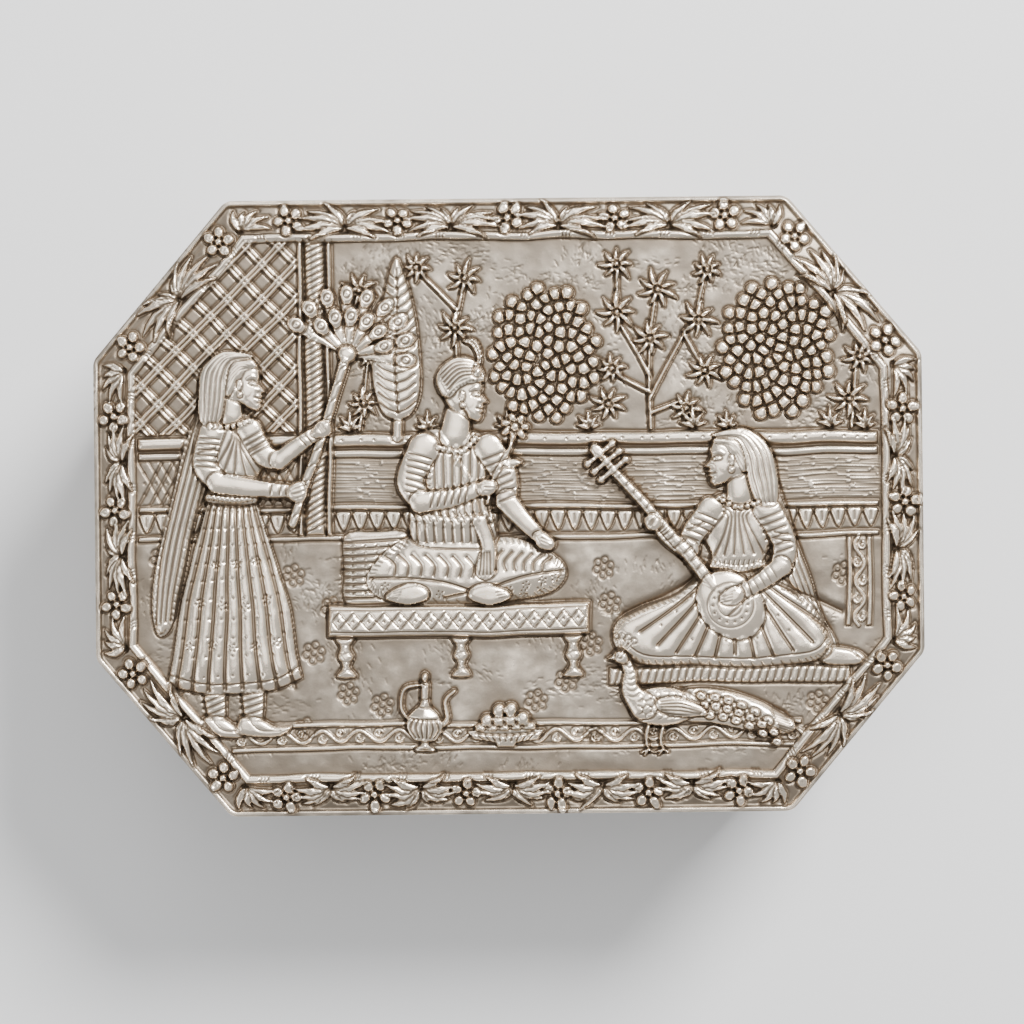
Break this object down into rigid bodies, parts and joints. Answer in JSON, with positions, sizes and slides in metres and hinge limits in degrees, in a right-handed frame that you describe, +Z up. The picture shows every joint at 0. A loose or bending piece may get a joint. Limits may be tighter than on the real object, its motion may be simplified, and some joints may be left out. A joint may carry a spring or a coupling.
{
  "type": "hinged box",
  "caption": "Oblong silver box with cut corners, a chased relief lid on a rear knuckle hinge, panelled walls, an inner bezel and a moulded foot.",
  "frame": {"origin": "middle of the underside, at the height of the table the foot stands on", "axes": "+X to the right along the length, +Y to the hinge at the rear, +Z up through the lid"},
  "size_m": [0.14, 0.104, 0.0484],
  "materials": {
    "chased_silver": "chased silver, dark tarnish in the recesses, rubbed bright on the raised work",
    "plain_silver": "plain silver, softly polished with fine wear",
    "worn_silver": "dull silver of the hinge, tarnished where it isn't rubbed"
  },
  "bodies": {
    "box": {"foot_ring": "plain_silver", "base_plate": "plain_silver", "wall_right": "chased_silver", "wall_right_rear": "chased_silver", "wall_rear": "chased_silver", "wall_left_rear": "chased_silver", "wall_left": "chased_silver", "wall_left_front": "chased_silver", "wall_front": "chased_silver", "wall_right_front": "chased_silver", "upper_wire": "plain_silver", "lower_wire": "plain_silver", "bezel": "plain_silver", "hinge_bearer_box": "plain_silver", "hinge_knuckle_1": "worn_silver", "hinge_knuckle_3": "worn_silver", "hinge_knuckle_5": "worn_silver", "hinge_pin": "worn_silver"},
    "lid": {"hinge_bearer_lid": "plain_silver", "hinge_knuckle_2": "worn_silver", "hinge_knuckle_4": "worn_silver", "lid_skirt": "plain_silver", "lid_wire": "plain_silver", "lid_lining": "plain_silver", "lid_panel": "chased_silver"}
  },
  "joints": [
    {"name": "lid_hinge", "type": "hinge", "parent": "box", "child": "lid", "pos_m": [0, 0.0503, 0.03405], "axis": [-1, 0, 0], "range_deg": [0, 105]}
  ]
}
